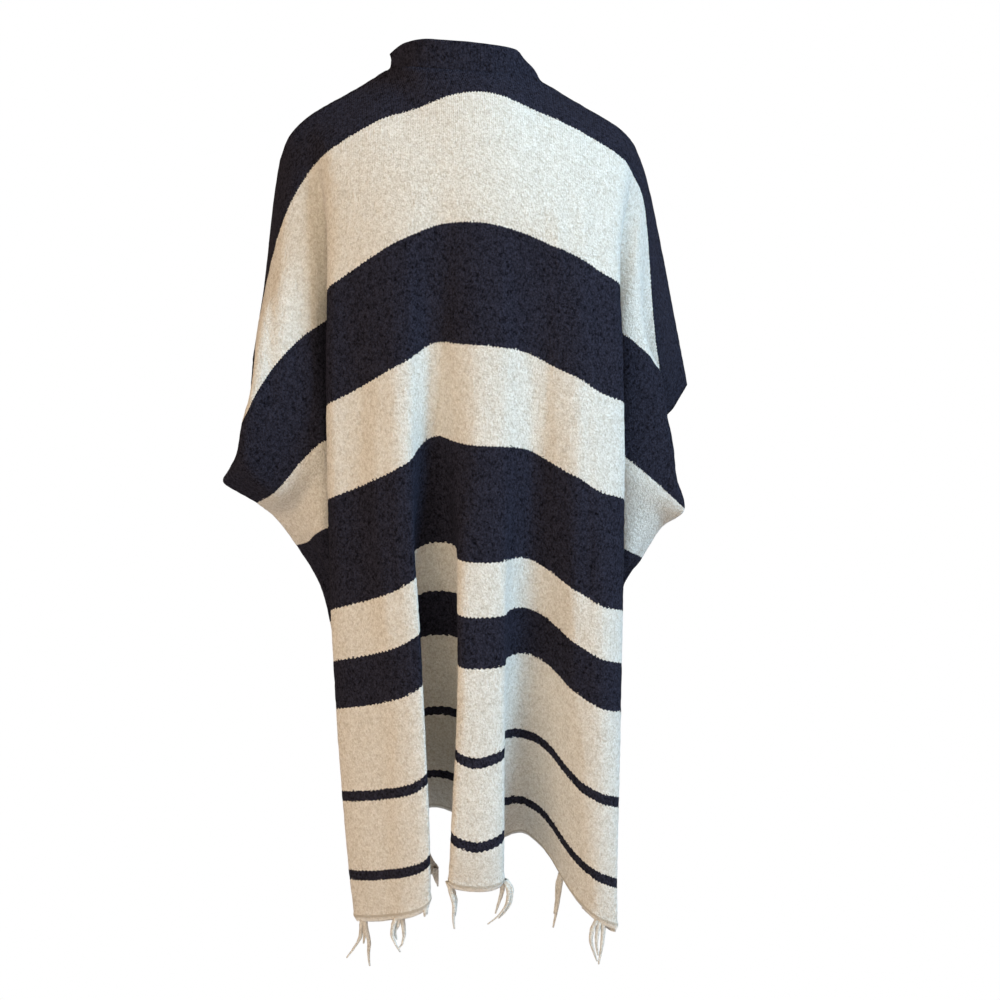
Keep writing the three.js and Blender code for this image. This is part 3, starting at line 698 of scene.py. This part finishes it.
def curved_up(grid, columns, down):
    past = np.maximum(np.abs(columns) - NECK_HALF, 0)[None, :]
    gap = np.hypot(past, down - np.where(past > 0, 0, down[0][None, :]))
    lift = NECK_LIFT * np.exp(-gap / NECK_LIFT_REACH)
    return grid + lift[..., None] * np.array([0, 0, 1.0])


# %% The back
back_stops = [line[0] for line in back_lines]
BODY_HALF, BODY_STEP, SLEEVE_STEP = 190, 3.2, 5.5
BACK_STEP, FRONT_STEP, FRONT_COLUMN_STEP, HEM_STEP = 5, 5.5, 4, 2


def row_stops(armhole, length, step):
    """Rows down a panel, closer together in the last stretch above the hem."""
    hem = length - HEM_REACH
    return spaced([0, armhole, hem, length], lambda down: step if down < hem else HEM_STEP)


back_columns = spaced(back_stops, lambda across: BODY_STEP if abs(across) < BODY_HALF else SLEEVE_STEP)
back_rows = row_stops(ARMHOLE_BACK, BACK_LENGTH, BACK_STEP)
back_grid, back_down = drape(back_lines, BACK_LENGTH, back_columns, back_rows)
back_grid, back_down = softened(back_grid, back_columns, back_down)
back_grid = curved_up(back_grid, back_columns, back_down)
back_creased = creased(back_grid, back_columns, back_down, BACK_LENGTH, BACK_CREASES, 1)
back_across = np.broadcast_to(back_columns, back_down.shape)
back = cloth_piece("back_cloth", back_creased * MM, back_across * MM, back_down * MM, 1)
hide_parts("back_panel")
print("back:", back_grid.shape)

# %% The fronts
front_rows = row_stops(ARMHOLE_FRONT, FRONT_LENGTH, FRONT_STEP)
RIGHT_LOWER, RIGHT_FLATTER = 14, 0.9


def right_crease(what, top, bottom, first, last, width, height):
    """A crease of the left front, mirrored to the right one, lower and flatter."""
    lowest = min(last + RIGHT_LOWER, FRONT_LENGTH)
    return (what, -top, -bottom, first + RIGHT_LOWER, lowest, width, height * RIGHT_FLATTER)


def front_piece(name, node, lines, sign):
    stops = sorted(sign * abs(line[0]) for line in lines)
    columns = spaced(stops, lambda across: FRONT_COLUMN_STEP)
    grid, down = drape_front(lines, columns, front_rows)
    grid, down = softened(grid, columns, down)
    grid = curved_up(grid, columns, down)
    creases = FRONT_CREASES
    if sign < 0:
        creases = [right_crease(*row) for row in creases]
    shaped = creased(grid, columns, down, FRONT_LENGTH, creases, -1)
    across = np.broadcast_to(columns, down.shape)
    piece = cloth_piece(name, shaped * MM, across * MM, (down - FRONT_LONGER) * MM, -1)
    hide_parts(node)
    return piece, columns, grid


left_front, left_columns, left_grid = front_piece("left_front_cloth", "front_left", left_front_lines, 1)
right_front, right_columns, right_grid = front_piece(
    "right_front_cloth", "front_right", right_front_lines, -1
)
print("fronts:", left_grid.shape, right_grid.shape)

# %% [markdown]
# ## The collar
# A low band stands on the neck edge, highest at the back of the neck. It is a grid too, from the neck
# edge up to a soft rolled top.

# %% Collar
COLLAR_RISE = [
    # turn about the neck in degrees (0 at the wearer's left, 90 at the back), height, lean inwards
    (-53, 8, 0),
    (0, 14, -2),
    (15, 22, -2),
    (30, 28, -2),
    (60, 34, -1),
    (90, 34, 0),
    (120, 32, 1),
    (148, 29, 3),
    (158, 27, 6),
    (168, 22, 9),
    (180, 14, 8),
    (205, 9, 3),
    (233, 8, 0),
]
COLLAR_STEPS, COLLAR_FLARE, FLARE_RATE = 16, 2.5, 4
COLLAR_AROUND = 0.35


def neck_edge():
    inside = np.abs(back_columns) <= NECK_HALF
    left, right = left_columns < NECK_HALF, right_columns > -NECK_HALF
    return np.concatenate([left_grid[0][left], back_grid[0][inside][::-1], right_grid[0][right]])


def collar_grid(foot, count):
    turn = np.degrees(np.arctan2(foot[:, 1], foot[:, 0] - NECK_MIDDLE))
    turn = np.where(turn < -90, turn + 360, turn)
    standing = smooth_curve([row[0] for row in COLLAR_RISE], [row[1:] for row in COLLAR_RISE])(turn)
    inward = np.column_stack([NECK_MIDDLE - foot[:, 0], -foot[:, 1], np.zeros(len(foot))])
    inward /= np.linalg.norm(inward, axis=1)[:, None]
    part = np.linspace(0, 1, count)[:, None, None]
    rise = standing[None, :, :1] - NECK_LIFT
    inset = part**2 * standing[None, :, 1:] + COLLAR_FLARE * (1 - np.exp(-FLARE_RATE * part))
    return foot[None] + part * rise * np.array([0, 0, 1.0]) + inset * inward[None]


collar_points = collar_grid(neck_edge(), COLLAR_STEPS)
collar_down = np.zeros(collar_points.shape[:2])
collar_across = np.broadcast_to(np.linspace(0, COLLAR_AROUND, collar_points.shape[1]), collar_down.shape)
collar = cloth_piece("collar_cloth", collar_points * MM, collar_across, collar_down, 1)
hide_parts("collar")
print("collar:", collar_points.shape)

# %% [markdown]
# ## Yarn and stripes
# The yarn is a boucle: soft, fuzzy loops with no shine. Two small node groups make it. One finds the
# stripes from how far down the cloth a place is, and lets each stitch at a border stray a little. The
# other makes the height of the loops, and the material paints shade into the gaps between them.

# %% Stripe group
STRIPES = [
    # from, to: navy bands, mm down the back
    (-200, 70),
    (230, 362),
    (472, 602),
    (664, 723),
    (827, 840),
    (930, 943),
]
WALE, TOOTH = 0.0034, 0.9
RIB = 0.0024
STRAY, STRAY_SCALE = 0.0026, 330
NUB, NUB_SCALE, NUB_ABOVE = 0.0017, 270, 0.73


def group_with(name, inputs, outputs):
    group = bpy.data.node_groups.new(name, "ShaderNodeTree")
    for label, kind, value in inputs:
        socket = group.interface.new_socket(label, in_out="INPUT", socket_type=kind)
        if value is not None:
            socket.default_value = value
    for label, kind in outputs:
        group.interface.new_socket(label, in_out="OUTPUT", socket_type=kind)
    return group, group.nodes.new("NodeGroupInput"), group.nodes.new("NodeGroupOutput")


def calc(group, operation, *values):
    node = group.nodes.new("ShaderNodeMath")
    node.operation = operation
    for socket, value in zip(node.inputs, values):
        if isinstance(value, (int, float)):
            socket.default_value = value
        else:
            group.links.new(value, socket)
    return node.outputs[0]


def grain(group, vector, scale, detail=2.0, rough=0.6):
    node = group.nodes.new("ShaderNodeTexNoise")
    node.inputs["Scale"].default_value = scale
    node.inputs["Detail"].default_value = detail
    node.inputs["Roughness"].default_value = rough
    group.links.new(vector, node.inputs["Vector"])
    return node.outputs["Fac"]


def cells(group, vector, scale):
    node = group.nodes.new("ShaderNodeTexVoronoi")
    node.inputs["Scale"].default_value = scale
    group.links.new(vector, node.inputs["Vector"])
    return node.outputs["Distance"]


stripes, given, result = group_with(
    "stripes",
    [("Cloth", "NodeSocketVector", None), ("Object", "NodeSocketVector", None)],
    [("Navy", "NodeSocketFloat")],
)
split = stripes.nodes.new("ShaderNodeSeparateXYZ")
stripes.links.new(given.outputs["Cloth"], split.inputs[0])
tooth = calc(stripes, "PINGPONG", split.outputs[0], WALE / 2)
tooth = calc(stripes, "MULTIPLY", calc(stripes, "SUBTRACT", tooth, WALE / 4), TOOTH)
wander = calc(stripes, "SUBTRACT", grain(stripes, given.outputs["Object"], STRAY_SCALE, 1.0), 0.5)
wander = calc(stripes, "MULTIPLY", wander, STRAY)
nub = calc(stripes, "GREATER_THAN", grain(stripes, given.outputs["Object"], NUB_SCALE, 0.0), NUB_ABOVE)
nub = calc(stripes, "MULTIPLY", nub, NUB)
down = calc(stripes, "ADD", split.outputs[1], calc(stripes, "ADD", tooth, calc(stripes, "ADD", wander, nub)))
total = None
for low, high in STRIPES:
    above = calc(stripes, "GREATER_THAN", down, low * MM)
    inside = calc(stripes, "MULTIPLY", above, calc(stripes, "LESS_THAN", down, high * MM))
    total = inside if total is None else calc(stripes, "ADD", total, inside)
stripes.links.new(total, result.inputs["Navy"])
print("stripe bands:", len(STRIPES))

# %% Loop height group
UPRIGHT = 0.75
BEND_SCALE, BEND_REACH = 420, 0.004
LOOP_SCALE, FINE_SCALE, CLUMP_SCALE = 430, 560, 170
LOOP_SHARE, FINE_SHARE, CLUMP_SHARE = 0.4, 0.75, 0.35
RIB_HEIGHT, RIB_FROM, RIB_TO = 0.05, 0.09, 0.19
EDGE_DOWN, EDGE_HEIGHT = 0.9945, 0.2
GROOVE_DOWN, GROOVE_HALF, GROOVE_DEPTH = 0.9915, 0.0014, 0.35

loops, given, result = group_with(
    "yarn loops",
    [("Object", "NodeSocketVector", None), ("Cloth", "NodeSocketVector", None)],
    [("Height", "NodeSocketFloat")],
)
upright = loops.nodes.new("ShaderNodeMapping")
upright.inputs["Scale"].default_value = (1, 1, UPRIGHT)
loops.links.new(given.outputs["Object"], upright.inputs["Vector"])
bend = loops.nodes.new("ShaderNodeTexNoise")
bend.inputs["Scale"].default_value = BEND_SCALE
bend.inputs["Detail"].default_value = 1.0
loops.links.new(given.outputs["Object"], bend.inputs["Vector"])
shift = loops.nodes.new("ShaderNodeVectorMath")
shift.operation = "MULTIPLY_ADD"
shift.inputs[1].default_value = (BEND_REACH, BEND_REACH, BEND_REACH)
loops.links.new(bend.outputs["Color"], shift.inputs[0])
loops.links.new(upright.outputs[0], shift.inputs[2])
round_top = calc(loops, "SUBTRACT", 1.0, cells(loops, shift.outputs[0], LOOP_SCALE))
fine = grain(loops, upright.outputs[0], FINE_SCALE, 3.0, 0.75)
clumps = grain(loops, given.outputs["Object"], CLUMP_SCALE, 1.0)
side = loops.nodes.new("ShaderNodeSeparateXYZ")
loops.links.new(given.outputs["Cloth"], side.inputs[0])
rib = calc(loops, "SINE", calc(loops, "MULTIPLY", side.outputs[0], 2 * math.pi / RIB))
smooth_part = loops.nodes.new("ShaderNodeMapRange")
for label, value in [("From Min", RIB_FROM), ("From Max", RIB_TO), ("To Min", RIB_HEIGHT), ("To Max", 0.0)]:
    smooth_part.inputs[label].default_value = value
loops.links.new(side.outputs[1], smooth_part.inputs["Value"])
rib = calc(loops, "MULTIPLY", rib, smooth_part.outputs["Result"])
height = calc(
    loops,
    "ADD",
    calc(loops, "MULTIPLY", round_top, LOOP_SHARE),
    calc(loops, "MULTIPLY", fine, FINE_SHARE),
)
height = calc(loops, "ADD", height, calc(loops, "ADD", calc(loops, "MULTIPLY", clumps, CLUMP_SHARE), rib))
# The raised hem edge and the groove above it are relief. The yarn material also turns height into colour, so
# the edge gets less painted shade and the groove is a painted shadow line.
edge = calc(loops, "MULTIPLY", calc(loops, "GREATER_THAN", side.outputs[1], EDGE_DOWN), EDGE_HEIGHT)
off_groove = calc(loops, "ABSOLUTE", calc(loops, "SUBTRACT", side.outputs[1], GROOVE_DOWN))
groove = calc(loops, "MULTIPLY", calc(loops, "LESS_THAN", off_groove, GROOVE_HALF), GROOVE_DEPTH)
height = calc(loops, "SUBTRACT", calc(loops, "ADD", height, edge), groove)
loops.links.new(height, result.inputs["Height"])

# %% Yarn material
# Each yarn has its own colour and a darker one that is painted shade: the gaps between its loops are
# coloured as if in shadow.
CREAM, CREAM_PAINTED_SHADE = (0.91, 0.905, 0.88), (0.60, 0.57, 0.515)
NAVY, NAVY_PAINTED_SHADE = (0.040, 0.041, 0.066), (0.003, 0.003, 0.006)
TASSEL, TASSEL_PAINTED_SHADE = (0.90, 0.89, 0.86), (0.62, 0.60, 0.56)
FULL_SHADE_HEIGHT, TOP_HEIGHT = 0.50, 0.95
BUMP_DEPTH = 0.003


def yarn_material(name, striped, tone=None):
    material = bpy.data.materials.new(name)
    material.use_nodes = True
    tree = material.node_tree
    shader = tree.nodes["Principled BSDF"]
    place = tree.nodes.new("ShaderNodeTexCoord")
    relief = tree.nodes.new("ShaderNodeGroup")
    relief.node_tree = loops
    tree.links.new(place.outputs["Object"], relief.inputs["Object"])
    cloth = tree.nodes.new("ShaderNodeUVMap")
    cloth.uv_map = "cloth"
    tree.links.new(cloth.outputs[0], relief.inputs["Cloth"])

    def yarn_colour_with_painted_shade(lit, gap):
        # Painted shade: by loop height, the colour runs from the darker painted shade in the gaps to the
        # yarn's own colour on the loop tops.
        mix = tree.nodes.new("ShaderNodeMix")
        mix.data_type = "RGBA"
        spread = tree.nodes.new("ShaderNodeMapRange")
        spread.inputs["From Min"].default_value = FULL_SHADE_HEIGHT
        spread.inputs["From Max"].default_value = TOP_HEIGHT
        tree.links.new(relief.outputs["Height"], spread.inputs["Value"])
        tree.links.new(spread.outputs["Result"], mix.inputs["Factor"])
        mix.inputs["A"].default_value = (*gap, 1)
        mix.inputs["B"].default_value = (*lit, 1)
        return mix.outputs["Result"]

    if striped:
        bands = tree.nodes.new("ShaderNodeGroup")
        bands.node_tree = stripes
        tree.links.new(cloth.outputs[0], bands.inputs["Cloth"])
        tree.links.new(place.outputs["Object"], bands.inputs["Object"])
        both = tree.nodes.new("ShaderNodeMix")
        both.data_type = "RGBA"
        tree.links.new(bands.outputs["Navy"], both.inputs["Factor"])
        tree.links.new(yarn_colour_with_painted_shade(CREAM, CREAM_PAINTED_SHADE), both.inputs["A"])
        tree.links.new(yarn_colour_with_painted_shade(NAVY, NAVY_PAINTED_SHADE), both.inputs["B"])
        colour = both.outputs["Result"]
    else:
        colour = yarn_colour_with_painted_shade(*tone)
    tree.links.new(colour, shader.inputs["Base Color"])
    shader.inputs["Roughness"].default_value = 0.95
    shader.inputs["Diffuse Roughness"].default_value = 0.8
    shader.inputs["Specular IOR Level"].default_value = 0.05
    bump = tree.nodes.new("ShaderNodeBump")
    bump.inputs["Strength"].default_value = 1.0
    bump.inputs["Distance"].default_value = BUMP_DEPTH
    tree.links.new(relief.outputs["Height"], bump.inputs["Height"])
    tree.links.new(bump.outputs["Normal"], shader.inputs["Normal"])
    return material


striped_knit = yarn_material("striped knit", True)
navy_knit = yarn_material("navy knit", False, (NAVY, NAVY_PAINTED_SHADE))
tassel_yarn = yarn_material("tassel yarn", False, (TASSEL, TASSEL_PAINTED_SHADE))
for piece, material, slot in [
    (back, striped_knit, "striped_knit"),
    (left_front, striped_knit, "striped_knit"),
    (right_front, striped_knit, "striped_knit"),
    (collar, navy_knit, "navy_knit"),
]:
    piece.data.materials.append(material)

# %% [markdown]
# ## Tassels
# Each tassel is two or three loose strands of soft yarn, thick at the hem and thin at the end. A strand
# is given by places on its way down: how far to the wearer's left of the tassel's middle, and how far
# below the hem, in millimetres.

# %% Tassel strands
YARN_TOP, YARN_END = 3.3, 1.0
STRANDS = {
    "tassel_back_1": [
        [(3, 0), (9, 12), (11, 26), (8, 40), (3, 56)],
        [(-3, 0), (-4, 16), (-3, 34), (1, 60)],
        [(0, 0), (3, 16), (4, 32), (2, 48)],
    ],
    "tassel_back_2": [[(0, 0), (3, 24), (6, 48), (10, 73)], [(1, 0), (5, 18), (6, 36), (9, 54)]],
    "tassel_back_3": [[(0, 0), (-2, 20), (-3, 40)], [(1, 0), (1, 16), (-1, 32)]],
    "tassel_back_4": [
        [(0, 0), (-6, 15), (-4, 29), (5, 44), (19, 57)],
        [(1, 0), (2, 16), (6, 32), (10, 45)],
        [(-2, 0), (-9, 13), (-8, 28), (-1, 42), (6, 50)],
    ],
    "tassel_back_5": [
        [(2, 0), (-2, 15), (-5, 32), (-4, 47), (-5, 61)],
        [(-1, 0), (-4, 14), (-7, 28), (-6, 44)],
    ],
    "tassel_back_6": [[(0, 0), (1, 7), (2, 13)], [(1, 0), (0, 5), (-1, 10)]],
    "tassel_back_7": [
        [(1, 0), (6, 12), (8, 25), (4, 38), (-1, 49)],
        [(-3, 0), (-5, 14), (-6, 27), (-4, 38), (1, 45)],
        [(0, 0), (1, 14), (5, 24), (3, 34)],
    ],
    "tassel_back_8": [
        [(0, 0), (-3, 18), (-6, 34), (-5, 50), (-6, 66)],
        [(2, 0), (3, 14), (5, 28), (13, 43), (22, 55)],
        [(-2, 0), (-1, 18), (1, 36)],
    ],
    "tassel_left_1": [[(0, 0), (-1, 14), (-2, 29)], [(1, 0), (3, 12), (0, 24)]],
}
PLAIN_STRANDS = [
    [(0, 0), (2, 14), (4, 30), (2, 44)],
    [(-2, 0), (-4, 16), (-3, 32), (-5, 42)],
    [(1, 0), (-1, 14), (1, 28), (0, 38)],
]
STRAND_STEPS, STRAND_SIDES = 22, 10
STRAND_TURNS = [2.5, -2.5, 0]
TAPER, WOBBLE, YARN_LUMP, LUMP_TURNS, LUMP_RUN = 1.4, 0.8, 0.22, 3, 9
TUCKED, OVERLAP = 0.0025, 0.006


def strand(shape, top, way, turn, rng):
    """A tube of yarn swept down a curve, a little lumpy, thinner towards its end."""
    way = np.array(way, float)
    line = smooth_curve(way[:, 1], way)(np.linspace(0, way[-1, 1], STRAND_STEPS))
    part = np.linspace(0, 1, STRAND_STEPS)
    depth = turn * np.sin(math.pi * part) + rng.normal(0, WOBBLE) * part
    rings = []
    for k in range(STRAND_STEPS):
        size = YARN_TOP + (YARN_END - YARN_TOP) * part[k] ** TAPER
        centre = Vector(top) + Vector((line[k, 0], depth[k], -line[k, 1])) * MM
        ring = []
        for step in range(STRAND_SIDES):
            angle = 2 * math.pi * step / STRAND_SIDES
            out = Vector((math.cos(angle), math.sin(angle), 0))
            lump = noise.noise(LUMP_TURNS * out + Vector((0, 0, LUMP_RUN * part[k] + turn)))
            ring.append(shape.verts.new(centre + out * (size * MM * (1 + YARN_LUMP * lump))))
        rings.append(ring)
    for above, below in zip(rings[:-1], rings[1:]):
        for step in range(STRAND_SIDES):
            after = (step + 1) % STRAND_SIDES
            shape.faces.new((above[step], below[step], below[after], above[after])).smooth = True
    shape.faces.new(rings[0])
    shape.faces.new(rings[-1][::-1])


def tassel(node, seed):
    low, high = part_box(node)
    rng = np.random.default_rng(seed)
    middle = ((low[0] + high[0]) / 2, (low[1] + high[1]) / 2)
    top = (middle[0], middle[1] - math.copysign(TUCKED, low[1]), high[2] + OVERLAP)
    length = (high[2] - low[2]) / MM
    ways = STRANDS.get(node)
    if ways is None:
        scale = length / PLAIN_STRANDS[0][-1][1]
        flip = rng.choice([-1, 1])
        ways = [[(flip * side, drop * scale) for side, drop in way] for way in PLAIN_STRANDS]
    shape = bmesh.new()
    for turn, way in zip(STRAND_TURNS, ways):
        strand(shape, top, way, turn, rng)
    shape.normal_update()
    mesh = bpy.data.meshes.new(node + "_yarn")
    shape.to_mesh(mesh)
    shape.free()
    piece = bpy.data.objects.new(node + "_yarn", mesh)
    bpy.context.collection.objects.link(piece)
    piece.data.materials.append(tassel_yarn)
    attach(piece, "root")
    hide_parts(node)
    return piece


fringe = {"back": [], "left": [], "right": []}
for seed, node in enumerate(sorted(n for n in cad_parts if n.startswith("tassel"))):
    fringe[node.split("_")[1]].append(tassel(node, seed))
print("tassels:", {side: len(pieces) for side, pieces in fringe.items()})
